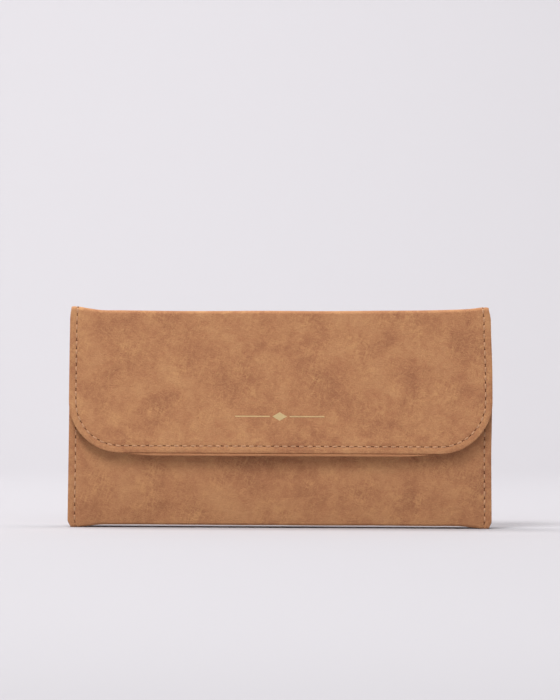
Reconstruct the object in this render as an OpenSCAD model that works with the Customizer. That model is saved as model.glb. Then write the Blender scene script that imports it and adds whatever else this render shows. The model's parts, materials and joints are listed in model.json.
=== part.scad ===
// Long flap wallet, standing on its base: a folded leather shell, a zipped coin pocket
// between two note compartments, eight card slots and a magnetic snap.
// X runs along the width, -Y is the flap side, +Z is up. Origin: centre of the base.

/* [Wallet] */
// Width over the side edges
wallet_w = 195; // [180:1:210]
// Height from the base to the top of the spine stitching
wallet_h = 101.5; // [98:0.5:110]
// Depth from the flap's stitching to the back's stitching
wallet_d = 25.8; // [25.8:0.1:30]

/* [Plies] */
// Thickness of the outer leather
leather_t = 0.9; // [0.7:0.1:1]
// Thickness of the lining ply behind it
lining_t = 0.7; // [0.6:0.1:0.8]
// Thickness of the stiffening board, let into the lining
board_t = 0.4; // [0.3:0.1:0.5]
// Thickness of a card ply or slip pocket
ply_t = 0.5; // [0.4:0.1:0.5]

/* [Flap] */
// Length of the flap below the top fold
flap_len = 67; // [60:1:70]
// Radius of the flap's two lower corners
flap_corner_r = 24; // [15:1:28]
// How far the facing ply hangs below the outer ply
facing_drop = 0.9; // [0.3:0.1:1.2]

/* [Front] */
// Height of the front panel's top edge
front_h = 86; // [80:1:88]

/* [Inside] */
// Half width of the card plies and the slip pocket
inner_half_w = 89; // [88:0.5:89.5]
// Height of the top of the first card ply
card_top = 87; // [80:1:88]
// Step down from one card ply to the next
card_step = 10; // [8:1:10]
// Height of a card ply
card_ply_h = 50; // [46:1:52]
// Height of the coin pocket's top edge
coin_top = 77; // [72:1:77]
// Height of the coin pocket's bottom fold
coin_bottom = 6; // [5:1:10]
// Space inside the coin pocket
coin_gap = 4.4; // [4.2:0.1:5]
// Space in the front note compartment
front_gap = 4.4; // [4.2:0.1:5]
// Height of the side gussets' top edge
gusset_top = 83; // [78:1:84]

/* [Zip] */
// Length of the row of teeth
teeth_len = 168; // [150:1:168]
// Length of the slider
slider_len = 9; // [8:0.5:10]
// Length of the pull from its pin to its end
pull_len = 14; // [10:0.5:14]

/* [Snap] */
// Radius of the snap's two discs
snap_r = 7; // [6:0.5:8]
// Height of the snap's centre
snap_z = 47; // [44:1:50]
// Space between the flap's facing and the front panel
snap_gap = 2.8; // [2.6:0.1:3]

/* [Stitching] */
// Distance of the seams from the side edges
seam_inset = 3.2; // [2.5:0.1:4]
// Distance of the seam from the flap's lower edge
flap_seam_inset = 4.3; // [3:0.1:5]
// Width of the thread
thread_w = 0.6; // [0.4:0.1:0.8]
// Height of the thread above the leather
thread_h = 0.2; // [0.1:0.05:0.2]

/* [Hidden] */
$fn = 96;

// Colours
nubuck = [0.70, 0.48, 0.33];
nubuck_dark = [0.62, 0.42, 0.29];
lining_tan = [0.76, 0.62, 0.47];
greyboard = [0.66, 0.63, 0.58];
thread_tan = [0.84, 0.64, 0.49];
pale_gold = [0.83, 0.70, 0.43];
washer_steel = [0.62, 0.62, 0.60];

// A panel is the outer leather and its lining. At a crease the outer leather of one panel
// ends in a round fold as thick as a panel, and the next panel turns about its axis.
panel_t = leather_t + lining_t;
fold_r = panel_t / 2;
fold_clear = 0.05;
fold_end = fold_r + fold_clear;

// Faces of the shell, from the front to the back
flap_face = -wallet_d / 2 + thread_h;
flap_inner = flap_face + panel_t;
front_face = flap_inner + snap_gap;
front_inner = front_face + panel_t;
slip_face = front_inner + ply_t;
coin_front = slip_face + front_gap;
coin_wall_t = 0.6;
coin_rear = coin_front + 2 * coin_wall_t + coin_gap;
back_face = wallet_d / 2 - thread_h;
back_inner = back_face - panel_t;
card_plies = 4;

// Top faces and fold axes, as [y, z]
top_face = wallet_h - thread_h;
top_axis_z = top_face - fold_r;
rear_top_axis = [back_face - fold_r, top_axis_z];
front_top_axis = [flap_face + fold_r, top_axis_z];
base_axis = [front_face + fold_r, fold_r];

back_top = top_axis_z - fold_r;
panel_top = top_axis_z - fold_end;
front_bottom = base_axis[1] + fold_end;
flap_bottom = top_axis_z - fold_end - flap_len;
board_inset = 7;
board_rise = 6;
coin_half_w = 92;
coin_hem_w = 2;
zip_y = (coin_front + coin_rear) / 2;
washer_r = 5;
washer_hole_r = washer_r + 0.1;
prong_x = 3;
prong_w = 0.5;
prong_l = 3;
prong_clear = 0.05;

// ---- shared shapes -------------------------------------------------------------------

// A box from one corner to the other
module block(low, high) {
    translate(low) cube([high[0] - low[0], high[1] - low[1], high[2] - low[2]]);
}

// A block across the wallet's width, given by its half width, its faces and its heights
module slab(half_w, y_low, y_high, z_low, z_high) {
    block([-half_w, y_low, z_low], [half_w, y_high, z_high]);
}

// Stands a flat outline up, so that its x and y become X and Z, between two y faces
module upright(y_low, y_high) {
    translate([0, y_high, 0]) rotate([90, 0, 0]) linear_extrude(y_high - y_low) children();
}

// The flap's outline: straight sides down from the top, with round lower corners
module flap_outline(inset, bottom) {
    half_w = wallet_w / 2 - inset;
    r = flap_corner_r - inset;
    union() {
        translate([-half_w, bottom + r]) square([2 * half_w, panel_top - bottom - r]);
        translate([-half_w + r, bottom]) square([2 * (half_w - r), r]);
        for (side = [-1, 1]) translate([side * (half_w - r), bottom + r]) circle(r);
    }
}

// Two vertical threads, one along each side edge
module side_threads(y_low, y_high, z_low, z_high, half_w = wallet_w / 2 - seam_inset) {
    for (side = [-1, 1])
        block([side * half_w - thread_w / 2, y_low, z_low],
              [side * half_w + thread_w / 2, y_high, z_high]);
}

// A lining ply with the recess that holds its board
module recessed_lining(y_low, y_high, z_low, z_high, board_side) {
    recess_low = board_side > 0 ? y_high - board_t : y_low - 1;
    recess_high = board_side > 0 ? y_high + 1 : y_low + board_t;
    difference() {
        slab(wallet_w / 2, y_low, y_high, z_low, z_high);
        slab(wallet_w / 2 - board_inset, recess_low, recess_high,
             z_low + board_rise, z_high - board_rise);
    }
}

// The two slits that a snap's prongs go through
module prongs(y_low, y_high, clear = 0) {
    for (side = [-1, 1])
        translate([side * prong_x - prong_w / 2 - clear, y_low, snap_z - prong_l / 2 - clear])
            cube([prong_w + 2 * clear, y_high - y_low, prong_l + 2 * clear]);
}

// A disc of the snap, with its axis along Y
module snap_disc(r, y_low, y_high) {
    translate([0, y_high, snap_z]) rotate([90, 0, 0]) cylinder(r = r, h = y_high - y_low);
}

// A round fold along X about an axis given as [y, z]
module fold_roll(axis) {
    translate([-wallet_w / 2, axis[0], axis[1]]) rotate([0, 90, 0])
        cylinder(r = fold_r, h = wallet_w);
}

// ---- outer shell: back, base and folds ---------------------------------------------------

module back_outer() {
    color(nubuck) union() {
        slab(wallet_w / 2, back_face - leather_t, back_face, 0, top_axis_z);
        fold_roll(rear_top_axis);
    }
}

module back_board() {
    y_low = back_face - leather_t - board_t;
    color(greyboard) slab(wallet_w / 2 - board_inset, y_low, y_low + board_t,
                          panel_t + board_rise, back_top - board_rise);
}

module back_lining() {
    color(lining_tan) recessed_lining(back_inner, back_inner + lining_t, panel_t, back_top, 1);
}

module back_stitching() {
    color(thread_tan) side_threads(back_face, back_face + thread_h, seam_inset, top_axis_z);
}

module base_outer() {
    color(nubuck) union() {
        slab(wallet_w / 2, base_axis[0], back_face - leather_t, 0, leather_t);
        fold_roll(base_axis);
    }
}

module base_lining() {
    color(lining_tan)
        slab(wallet_w / 2, base_axis[0] + fold_r, back_face - leather_t, leather_t, panel_t);
}

// ---- card slots on the back's inside -------------------------------------------------------

module card_panel() {
    color(nubuck_dark)
        slab(inner_half_w, back_inner - ply_t, back_inner, panel_t + 1, card_top + 3);
}

// Ply 0 is the highest and lies nearest the back, and the last one is the lowest
module card_ply(i) {
    y_high = back_inner - ply_t * (i + 1);
    z_high = card_top - card_step * i;
    color(nubuck) slab(inner_half_w, y_high - ply_t, y_high, z_high - card_ply_h, z_high);
}

module card_stitching() {
    y_face = back_inner - ply_t * (card_plies + 1);
    z_top = card_top - card_step * (card_plies - 1);
    color(thread_tan) slab(thread_w / 2, y_face - thread_h, y_face, z_top - card_ply_h, z_top);
}

// ---- side gussets ----------------------------------------------------------------------------

// Unit normal of the step from a to b
function step_normal(a, b) = let (d = b - a) [-d[1], d[0]] / norm(d);

// Mitred offset of point i of a line of points
function mitre(line, i, off) =
    let (
        last = len(line) - 1,
        n_in = step_normal(line[max(i - 1, 0)], line[max(i, 1)]),
        n_out = step_normal(line[min(i, last - 1)], line[min(i + 1, last)]),
        bisector = (n_in + n_out) / norm(n_in + n_out)
    )
    line[i] + bisector * off / (bisector * n_in);

// A band of constant thickness along a line of points
module band(line, t) {
    last = len(line) - 1;
    polygon(concat(
        [for (i = [0 : last]) mitre(line, i, t / 2)],
        [for (i = [last : -1 : 0]) mitre(line, i, -t / 2)]
    ));
}

gusset_t = 0.4;
gusset_wing_x = 96.5;
gusset_seam_x = 93.2;
gusset_apex_x = 82;
coin_wing_x = 88.5;

// One V-shaped gusset: from its wing on a panel's face, in to the apex, out to the coin pocket
module gusset(side, panel_y, coin_y) {
    toward = sign(coin_y - panel_y);
    wing_y = panel_y + toward * gusset_t / 2;
    hem_y = coin_y - toward * gusset_t / 2;
    knee_y = panel_y + toward * 0.8 * abs(coin_y - panel_y) / 2;
    line = [
        [gusset_wing_x, wing_y],
        [gusset_seam_x, wing_y],
        [gusset_seam_x - 1, knee_y],
        [gusset_apex_x, (panel_y + coin_y) / 2 - toward * 0.1],
        [coin_wing_x, hem_y],
        [coin_half_w, hem_y]
    ];
    color(lining_tan) translate([0, 0, panel_t + 0.6]) linear_extrude(gusset_top - panel_t - 0.6)
        band([for (p = line) [side * p[0], p[1]]], gusset_t);
}

module left_rear_gusset() {
    gusset(-1, back_inner, coin_rear);
}

module right_rear_gusset() {
    gusset(1, back_inner, coin_rear);
}

module left_front_gusset() {
    gusset(-1, front_inner, coin_front);
}

module right_front_gusset() {
    gusset(1, front_inner, coin_front);
}

// ---- coin pocket --------------------------------------------------------------------------

module coin_front_wall() {
    color(nubuck)
        slab(coin_half_w, coin_front, coin_front + coin_wall_t, coin_bottom, coin_top);
}

module coin_rear_wall() {
    color(nubuck)
        slab(coin_half_w, coin_rear - coin_wall_t, coin_rear, coin_bottom, coin_top);
}

module coin_base_fold() {
    color(nubuck_dark)
        slab(coin_half_w, coin_front + coin_wall_t, coin_rear - coin_wall_t,
             coin_bottom, coin_bottom + coin_wall_t);
}

module coin_hem(side) {
    x_low = side > 0 ? coin_half_w - coin_hem_w : -coin_half_w;
    color(nubuck_dark)
        block([x_low, coin_front + coin_wall_t, coin_bottom + coin_wall_t],
              [x_low + coin_hem_w, coin_rear - coin_wall_t, tape_bottom]);
}

module coin_left_hem() {
    coin_hem(-1);
}

module coin_right_hem() {
    coin_hem(1);
}

module coin_stitching() {
    color(thread_tan) for (face = [coin_front - thread_h, coin_rear])
        slab(coin_wing_x - 1, face, face + thread_h,
             coin_top - 2.6, coin_top - 2.6 + thread_w);
}

// ---- zip ---------------------------------------------------------------------------------

tape_t = 0.5;
tape_bottom = coin_top - tape_t;
teeth_gap = 0.3;
teeth_out = 1.2;
teeth_low = tape_bottom - 0.5;
teeth_high = coin_top + 0.7;
stop_len = 2;

// One tape, from the pocket's wall to its row of teeth; side -1 is the front one
module zip_tape(side) {
    inner = zip_y + side * teeth_out;
    outer = zip_y + side * coin_gap / 2;
    color(lining_tan)
        slab(coin_half_w, min(inner, outer), max(inner, outer), tape_bottom, coin_top);
}

module zip_front_tape() {
    zip_tape(-1);
}

module zip_rear_tape() {
    zip_tape(1);
}

// One row of teeth as a rail of their outer shape
module zip_teeth(side) {
    inner = zip_y + side * teeth_gap;
    outer = zip_y + side * teeth_out;
    color(pale_gold)
        slab(teeth_len / 2, min(inner, outer), max(inner, outer), teeth_low, teeth_high);
}

module zip_front_teeth() {
    zip_teeth(-1);
}

module zip_rear_teeth() {
    zip_teeth(1);
}

module zip_stops() {
    color(pale_gold) for (side = [-1, 1])
        translate([side * (teeth_len / 2 + stop_len / 2), zip_y, teeth_low])
            linear_extrude(teeth_high - teeth_low + 0.3)
                square([stop_len, 2 * teeth_out], center = true);
}

slider_w = 5.8;
slider_x = teeth_len / 2 - slider_len / 2 - 2;
slider_floor = teeth_high + 0.3;
slider_plate_t = 0.9;
pin_r = 0.5;
pin_z = slider_floor + slider_plate_t + 1.5;
pin_clear = 0.06;
lug_in = 1.3;
lug_t = 0.8;
lug_r = 1.3;

// Outline of a slider plate: wide where the teeth part, narrow where they are meshed
module slider_outline(w) {
    polygon([
        [-slider_len / 2, -w * 0.36], [slider_len / 2 - 2, -w / 2], [slider_len / 2, -w * 0.3],
        [slider_len / 2, w * 0.3], [slider_len / 2 - 2, w / 2], [-slider_len / 2, w * 0.36]
    ]);
}

module zip_slider() {
    under_top = teeth_low - 0.3;
    color(pale_gold) translate([slider_x, zip_y, 0]) difference() {
        union() {
            translate([0, 0, slider_floor]) linear_extrude(slider_plate_t)
                slider_outline(slider_w);
            translate([0, 0, under_top - slider_plate_t]) linear_extrude(slider_plate_t)
                slider_outline(slider_w * 0.68);
            block([slider_len / 2 - 3, -teeth_gap + 0.05, under_top - 0.1],
                  [slider_len / 2 - 0.6, teeth_gap - 0.05, slider_floor + 0.1]);
            for (side = [-1, 1]) slider_lug(side);
        }
        translate([0, slider_w, pin_z]) rotate([90, 0, 0]) cylinder(r = pin_r, h = 2 * slider_w);
    }
}

// One of the two lugs that hold the pull's pin
module slider_lug(side) {
    y_low = side > 0 ? lug_in : -lug_in - lug_t;
    translate([0, y_low + lug_t, pin_z]) rotate([90, 0, 0]) cylinder(r = lug_r, h = lug_t);
    block([-lug_r, y_low, slider_floor + slider_plate_t - 0.1], [lug_r, y_low + lug_t, pin_z]);
}

module slider_pin() {
    half_l = lug_in + lug_t;
    color(pale_gold) translate([slider_x, zip_y + half_l, pin_z]) rotate([90, 0, 0])
        cylinder(r = pin_r, h = 2 * half_l);
}

// The pull lies towards -X: an eye on the pin, a neck and a tapered tab with a slot
module zip_pull() {
    eye_w = 2 * lug_in - 0.2;
    tab_w = 4.6;
    tab_t = 1;
    color(pale_gold) translate([slider_x, zip_y, pin_z]) difference() {
        union() {
            translate([0, eye_w / 2, 0]) rotate([90, 0, 0]) cylinder(r = 1.1, h = eye_w);
            translate([0, 0, -tab_t / 2]) linear_extrude(tab_t) union() {
                translate([-4, -eye_w / 2]) square([4, eye_w]);
                polygon([
                    [-2.6, -eye_w / 2], [-4.2, -tab_w / 2], [-pull_len + 1, -tab_w * 0.4],
                    [-pull_len, -tab_w * 0.25], [-pull_len, tab_w * 0.25],
                    [-pull_len + 1, tab_w * 0.4], [-4.2, tab_w / 2], [-2.6, eye_w / 2]
                ]);
            }
        }
        translate([0, eye_w, 0]) rotate([90, 0, 0])
            cylinder(r = pin_r + pin_clear, h = 2 * eye_w);
        translate([-8.2, 0, -tab_t]) linear_extrude(2 * tab_t) union() {
            translate([-1.6, -0.8]) square([3.2, 1.6]);
            for (end = [-1.6, 1.6]) translate([end, 0]) circle(0.8);
        }
    }
}

// ---- front panel ---------------------------------------------------------------------------

module front_outer() {
    color(nubuck) difference() {
        slab(wallet_w / 2, front_face, front_face + leather_t, front_bottom, front_h);
        prongs(front_face - 1, front_face + leather_t + 1, prong_clear);
    }
}

module front_board() {
    y_low = front_face + leather_t;
    color(greyboard) difference() {
        slab(wallet_w / 2 - board_inset, y_low, y_low + board_t,
             front_bottom + board_rise, front_h - board_rise);
        snap_disc(washer_hole_r, y_low - 1, y_low + 1);
    }
}

module front_lining() {
    color(lining_tan)
        recessed_lining(front_inner - lining_t, front_inner, front_bottom, front_h, -1);
}

module front_stitching() {
    color(thread_tan)
        side_threads(front_face - thread_h, front_face, front_bottom + 1, front_h - 1);
}

module slip_pocket() {
    color(nubuck)
        slab(inner_half_w, front_inner, slip_face, front_bottom + 1, front_h * 0.8);
}

// ---- magnetic snap ----------------------------------------------------------------------------

socket_t = 2;
socket_bore_r = 2.5;
stud_plate_t = snap_gap - socket_t - 0.1;
stud_r = 1.6;
stud_len = 1.4;

module snap_socket() {
    bore_end = front_face - 0.4;
    color(pale_gold) union() {
        difference() {
            snap_disc(snap_r, front_face - socket_t, front_face);
            snap_disc(socket_bore_r, front_face - socket_t - 1, bore_end);
        }
        prongs(front_face - 0.1, front_face + leather_t + board_t);
    }
}

module socket_washer() {
    y_low = front_face + leather_t;
    color(washer_steel) difference() {
        snap_disc(washer_r, y_low, y_low + board_t);
        prongs(y_low - 1, y_low + 1, prong_clear);
    }
}

module snap_stud() {
    color(pale_gold) union() {
        snap_disc(snap_r - 0.5, flap_inner, flap_inner + stud_plate_t);
        snap_disc(stud_r, flap_inner + stud_plate_t - 0.1, flap_inner + stud_plate_t + stud_len);
        prongs(flap_inner - lining_t, flap_inner + 0.1);
    }
}

module stud_washer() {
    y_low = flap_face + leather_t;
    color(washer_steel) difference() {
        snap_disc(washer_r, y_low, y_low + board_t);
        prongs(y_low - 1, y_low + 1, prong_clear);
    }
}

// ---- spine ------------------------------------------------------------------------------------

spine_low = front_top_axis[0];
spine_high = rear_top_axis[0] - fold_end;

module spine_outer() {
    color(nubuck) union() {
        slab(wallet_w / 2, spine_low, spine_high, top_face - leather_t, top_face);
        fold_roll(front_top_axis);
    }
}

module spine_lining() {
    color(nubuck_dark) slab(wallet_w / 2, spine_low + fold_r, spine_high,
                            top_face - panel_t, top_face - leather_t);
}

module spine_stitching() {
    half_w = wallet_w / 2 - seam_inset;
    color(thread_tan) for (side = [-1, 1])
        block([side * half_w - thread_w / 2, spine_low, top_face],
              [side * half_w + thread_w / 2, spine_high, wallet_h]);
}

// ---- flap ------------------------------------------------------------------------------------

module flap_outer() {
    color(nubuck) upright(flap_face, flap_face + leather_t) flap_outline(0, flap_bottom);
}

module flap_board_outline() {
    intersection() {
        flap_outline(board_inset, flap_bottom + board_inset);
        translate([-wallet_w, 0]) square([2 * wallet_w, panel_top - board_rise]);
    }
}

module flap_board() {
    y_low = flap_face + leather_t;
    color(greyboard) difference() {
        upright(y_low, y_low + board_t) flap_board_outline();
        snap_disc(washer_hole_r, y_low - 1, y_low + 1);
    }
}

module flap_facing() {
    y_low = flap_face + leather_t;
    color(nubuck_dark) difference() {
        upright(y_low, flap_inner) flap_outline(0, flap_bottom - facing_drop);
        upright(y_low - 1, y_low + board_t) flap_board_outline();
        prongs(y_low, flap_inner + 1, prong_clear);
    }
}

module flap_stitching() {
    seam_bottom = flap_bottom + flap_seam_inset;
    color(thread_tan) upright(flap_face - thread_h, flap_face) difference() {
        flap_outline(seam_inset, seam_bottom);
        flap_outline(seam_inset + thread_w, seam_bottom + thread_w);
    }
}

// Foil ornament on the flap: a lozenge between two fine bars
foil_z = 51.5;
foil_t = 0.05;
lozenge = [3.4, 2];
bar_gap = 4;
bar_len = 16;
bar_h = 0.5;

module foil_mark() {
    color(pale_gold) translate([0, 0, foil_z]) upright(flap_face - foil_t, flap_face) union() {
        polygon([[-lozenge[0], 0], [0, -lozenge[1]], [lozenge[0], 0], [0, lozenge[1]]]);
        for (side = [-1, 1])
            translate([side * (bar_gap + bar_len / 2 + 0.6), 0])
                square([bar_len, bar_h], center = true);
    }
}

// ---- assembly ------------------------------------------------------------------------------------

back_outer();
back_board();
back_lining();
back_stitching();
base_outer();
base_lining();
card_panel();
card_ply(0);  // card_ply_1
card_ply(1);  // card_ply_2
card_ply(2);  // card_ply_3
card_ply(3);  // card_ply_4
card_stitching();
left_rear_gusset();
right_rear_gusset();
coin_front_wall();
coin_rear_wall();
coin_base_fold();
coin_left_hem();
coin_right_hem();
coin_stitching();
zip_front_tape();
zip_rear_tape();
zip_front_teeth();
zip_rear_teeth();
zip_stops();
left_front_gusset();
right_front_gusset();
zip_slider();
slider_pin();
zip_pull();
front_outer();
front_board();
front_lining();
front_stitching();
slip_pocket();
snap_socket();
socket_washer();
spine_outer();
spine_lining();
spine_stitching();
flap_outer();
flap_board();
flap_facing();
flap_stitching();
foil_mark();
snap_stud();
stud_washer();
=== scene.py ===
"""Long flap wallet in mottled tan nubuck, standing on its base in a pale studio.

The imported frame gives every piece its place. Lengths in the working code are in
millimetres, and the meshes are written in metres.
"""

import json
import math

import bmesh
import bpy
import numpy as np
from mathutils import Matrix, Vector


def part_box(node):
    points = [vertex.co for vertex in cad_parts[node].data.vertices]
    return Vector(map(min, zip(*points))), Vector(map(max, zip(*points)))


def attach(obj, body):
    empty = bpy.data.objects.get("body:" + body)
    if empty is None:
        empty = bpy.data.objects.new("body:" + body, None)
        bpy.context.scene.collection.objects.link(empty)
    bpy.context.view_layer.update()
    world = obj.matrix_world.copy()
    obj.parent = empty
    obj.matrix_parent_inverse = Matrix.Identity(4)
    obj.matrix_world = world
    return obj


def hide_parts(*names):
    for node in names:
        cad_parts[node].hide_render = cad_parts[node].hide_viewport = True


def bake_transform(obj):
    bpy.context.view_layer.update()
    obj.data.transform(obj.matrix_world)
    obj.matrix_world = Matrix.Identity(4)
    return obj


bl_info = {
    "name": "Long Flap Wallet",
    "version": (1, 0, 0),
    "blender": (4, 5, 0),
    "location": "3D View > Sidebar > Wallet",
    "description": "Dresses the packed wallet frame with leather, seams, zip and snap",
    "category": "Object",
}

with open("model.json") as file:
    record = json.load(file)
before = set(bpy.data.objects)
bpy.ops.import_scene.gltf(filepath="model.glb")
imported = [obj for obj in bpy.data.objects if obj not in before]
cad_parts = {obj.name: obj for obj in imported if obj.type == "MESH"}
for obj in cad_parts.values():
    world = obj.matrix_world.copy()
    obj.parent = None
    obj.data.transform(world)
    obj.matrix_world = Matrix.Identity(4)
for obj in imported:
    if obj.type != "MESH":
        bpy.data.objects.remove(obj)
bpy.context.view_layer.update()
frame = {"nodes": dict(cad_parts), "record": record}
MM = 0.001


# ---- measures taken from the frame --------------------------------------------------------


def span(node):
    """Lowest and highest corner of a CAD node, in millimetres."""
    low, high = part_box(node)
    return np.array(low) / MM, np.array(high) / MM


# The turned end of the flap's leather stays this much above the end of its flat solid.
FLAP_TURN = 1.9
HALF_W = span("back_outer")[1][0]
BACK = span("back_outer")[1][1]
TOP = span("spine_outer")[1][2]
FLAP = span("flap_outer")[0][1]
FLAP_END = span("flap_outer")[0][2] + FLAP_TURN
PLY = span("flap_outer")[1][1] - FLAP
FRONT = span("front_outer")[0][1]
MOUTH = span("front_outer")[1][2]
LINING = span("front_lining")[1][1] - FRONT - PLY
PANEL = PLY + LINING
COIN_LOW, COIN_HIGH = span("coin_front_wall")[0], span("coin_rear_wall")[1]
COIN_TOP = COIN_HIGH[2]
COIN_HALF = COIN_HIGH[0]
ZIP_Y = (COIN_LOW[1] + COIN_HIGH[1]) / 2
COIN_WALL = span("coin_front_wall")[1][1] - COIN_LOW[1]
SNAP_Z = (sum(span("snap_socket")) / 2)[2]
FLAP_RADIUS = 24.0
# Parts of each round corner of the flap, and parts across its sheet.
CORNER_PARTS = 16
FLAP_PARTS = 70
TOP_RADIUS = 1.7
BASE_RADIUS = 2.0
BASE_END = -6.4
FULL_HEIGHT = 101.5
# Millimetres of leather or cloth that one unit of the pattern covers.
PATTERN_MM = 100


# ---- settings -----------------------------------------------------------------------------


class WalletForm(bpy.types.PropertyGroup):
    """How the folded leather settles."""

    top_dip: bpy.props.FloatProperty(
        name="Top dip", description="How far the top sinks between its stiff side edges, in mm", default=1.25
    )
    base_rise: bpy.props.FloatProperty(
        name="Base rise", description="How far the base lifts between its corners, in mm", default=1.25
    )
    rear_rise: bpy.props.FloatProperty(
        name="Rear rise", description="How much further it lifts along the rear, in mm", default=1.9
    )
    wave: bpy.props.FloatProperty(
        name="Wave", description="Height of the soft waves in the panels, in mm", default=0.16
    )
    facing_drop: bpy.props.FloatProperty(
        name="Facing drop", description="How far the facing ply shows below the flap, in mm", default=1.35
    )


class WalletSeams(bpy.types.PropertyGroup):
    """Sizes of the stitching."""

    pitch: bpy.props.FloatProperty(
        name="Pitch", description="Distance from stitch to stitch", default=0.0038, unit="LENGTH"
    )
    fine_pitch: bpy.props.FloatProperty(
        name="Fine pitch", description="Stitch distance on the inner pockets", default=0.0027, unit="LENGTH"
    )
    inset: bpy.props.FloatProperty(
        name="Side inset", description="Distance of the seams from the side edges, in mm", default=3.2
    )
    flap_inset: bpy.props.FloatProperty(
        name="Flap inset", description="Distance of the seam from the flap's end, in mm", default=3.2
    )


class WalletColours(bpy.types.PropertyGroup):
    """Finishes of the pieces."""

    hide_light: bpy.props.FloatVectorProperty(
        name="Nubuck, light", description="Rubbed places", subtype="COLOR", default=(0.562, 0.279, 0.130)
    )
    hide_mid: bpy.props.FloatVectorProperty(
        name="Nubuck", description="Main tone", subtype="COLOR", default=(0.475, 0.210, 0.097)
    )
    hide_dark: bpy.props.FloatVectorProperty(
        name="Nubuck, dark", description="Shaded clouds", subtype="COLOR", default=(0.366, 0.150, 0.072)
    )
    thread: bpy.props.FloatVectorProperty(
        name="Thread", description="Seam thread", subtype="COLOR", default=(0.585, 0.305, 0.155)
    )
    twill: bpy.props.FloatVectorProperty(
        name="Lining", description="Fabric lining", subtype="COLOR", default=(0.31, 0.19, 0.11)
    )
    gold: bpy.props.FloatVectorProperty(
        name="Metal", description="Zip and snap", subtype="COLOR", default=(0.83, 0.64, 0.36)
    )


class WalletStage(bpy.types.PropertyGroup):
    """Camera and light."""

    distance: bpy.props.FloatProperty(
        name="Distance", description="Camera to flap", default=2.0, unit="LENGTH"
    )
    eye: bpy.props.FloatProperty(
        name="Eye height", description="Camera above the floor", default=0.0818, unit="LENGTH"
    )
    pitch: bpy.props.FloatProperty(
        name="Pitch", description="Camera tilt above level, in degrees", default=0.008
    )
    roll: bpy.props.FloatProperty(name="Roll", description="Tilt of the picture, in degrees", default=-0.27)
    lens: bpy.props.FloatProperty(name="Lens", description="Focal length in mm", default=223.6)
    key: bpy.props.FloatProperty(name="Key", description="Power of the key light", default=17.8)
    front: bpy.props.FloatProperty(name="Front", description="Power of the front light", default=1.8)
    floor: bpy.props.FloatProperty(name="Floor", description="Power of the foreground light", default=4.9)
    wall: bpy.props.FloatProperty(name="Wall", description="Power of the backdrop light", default=43.0)
    sky: bpy.props.FloatProperty(name="Sky", description="Strength of the surrounding light", default=0.13)


# ---- curves and shapes --------------------------------------------------------------------


def smooth(low, high, value):
    """Smooth step from 0 at low to 1 at high."""
    t = np.clip((np.asarray(value, float) - low) / (high - low), 0, 1)
    return t * t * (3 - 2 * t)


def hump(value, centre, width):
    """A bell curve of height 1."""
    return np.exp(-(((value - centre) / width) ** 2))


def soft_line(value, places, heights):
    """A smooth curve through a few given heights, level beyond its ends."""
    places, heights = np.array(places, float), np.array(heights, float)
    slopes = np.gradient(heights, places)
    slopes[0] = slopes[-1] = 0.0
    value = np.clip(np.asarray(value, float), places[0], places[-1])
    i = np.clip(np.searchsorted(places, value, side="right") - 1, 0, len(places) - 2)
    gap = places[i + 1] - places[i]
    t = (value - places[i]) / gap
    low = (1 - t) ** 2 * ((1 + 2 * t) * heights[i] + t * gap * slopes[i])
    high = t * t * ((3 - 2 * t) * heights[i + 1] - (1 - t) * gap * slopes[i + 1])
    return low + high


def waves(x, s, seed=0.0):
    """Slow uneven waves between about -1 and 1."""
    return (
        0.45 * np.sin(x * 0.061 + 1.3 + seed) * np.cos(s * 0.083 - 0.6 + seed)
        + 0.3 * np.sin(x * 0.117 - s * 0.094 + 2.1 + 1.7 * seed)
        + 0.25 * np.cos(x * 0.033 + s * 0.151 + 0.4 - seed)
    )


def steps(start, end, gap):
    """Evenly spaced values about gap apart, both ends included."""
    return np.linspace(start, end, max(2, int(round(abs(end - start) / gap)) + 1))


EDGE_STEPS = [0, 0.12, 0.3, 0.6, 1.0, 1.5, 2.0, 2.4, 2.8, 3.2, 3.6, 4.0, 4.6, 5.5, 7.0]


def across(half_w, gap=2.2):
    """X values from edge to edge, close together at both edges."""
    inner = steps(-half_w + EDGE_STEPS[-1], half_w - EDGE_STEPS[-1], gap)[1:-1]
    edge = np.array(EDGE_STEPS)
    return np.concatenate([edge - half_w, inner, (half_w - edge)[::-1]])


def rounded_path(corners, radii, parts=16):
    """Points and left-hand normals of a flat path whose inner corners are rounded."""
    corners = [np.array(c, float) for c in corners]
    ways = [(b - a) / np.linalg.norm(b - a) for a, b in zip(corners, corners[1:])]
    lefts = [np.array([-w[1], w[0]]) for w in ways]
    points, normals = [corners[0]], [lefts[0]]
    for corner, radius, way, left, after in zip(corners[1:-1], radii, ways, lefts, ways[1:]):
        turn = math.acos(float(np.clip(way @ after, -1, 1)))
        sign = 1.0 if left @ after > 0 else -1.0
        centre = corner - way * radius * math.tan(turn / 2) + sign * left * radius
        for a in np.linspace(0, turn, parts + 1):
            normal = left * math.cos(a) - sign * way * math.sin(a)
            points.append(centre - sign * normal * radius)
            normals.append(normal)
    points.append(corners[-1])
    normals.append(lefts[-1])
    return np.array(points), np.array(normals)


def run_length(points):
    """Distance along a line of points, from its start to each point."""
    return np.concatenate([[0], np.cumsum(np.linalg.norm(np.diff(points, axis=0), axis=1))])


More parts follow.
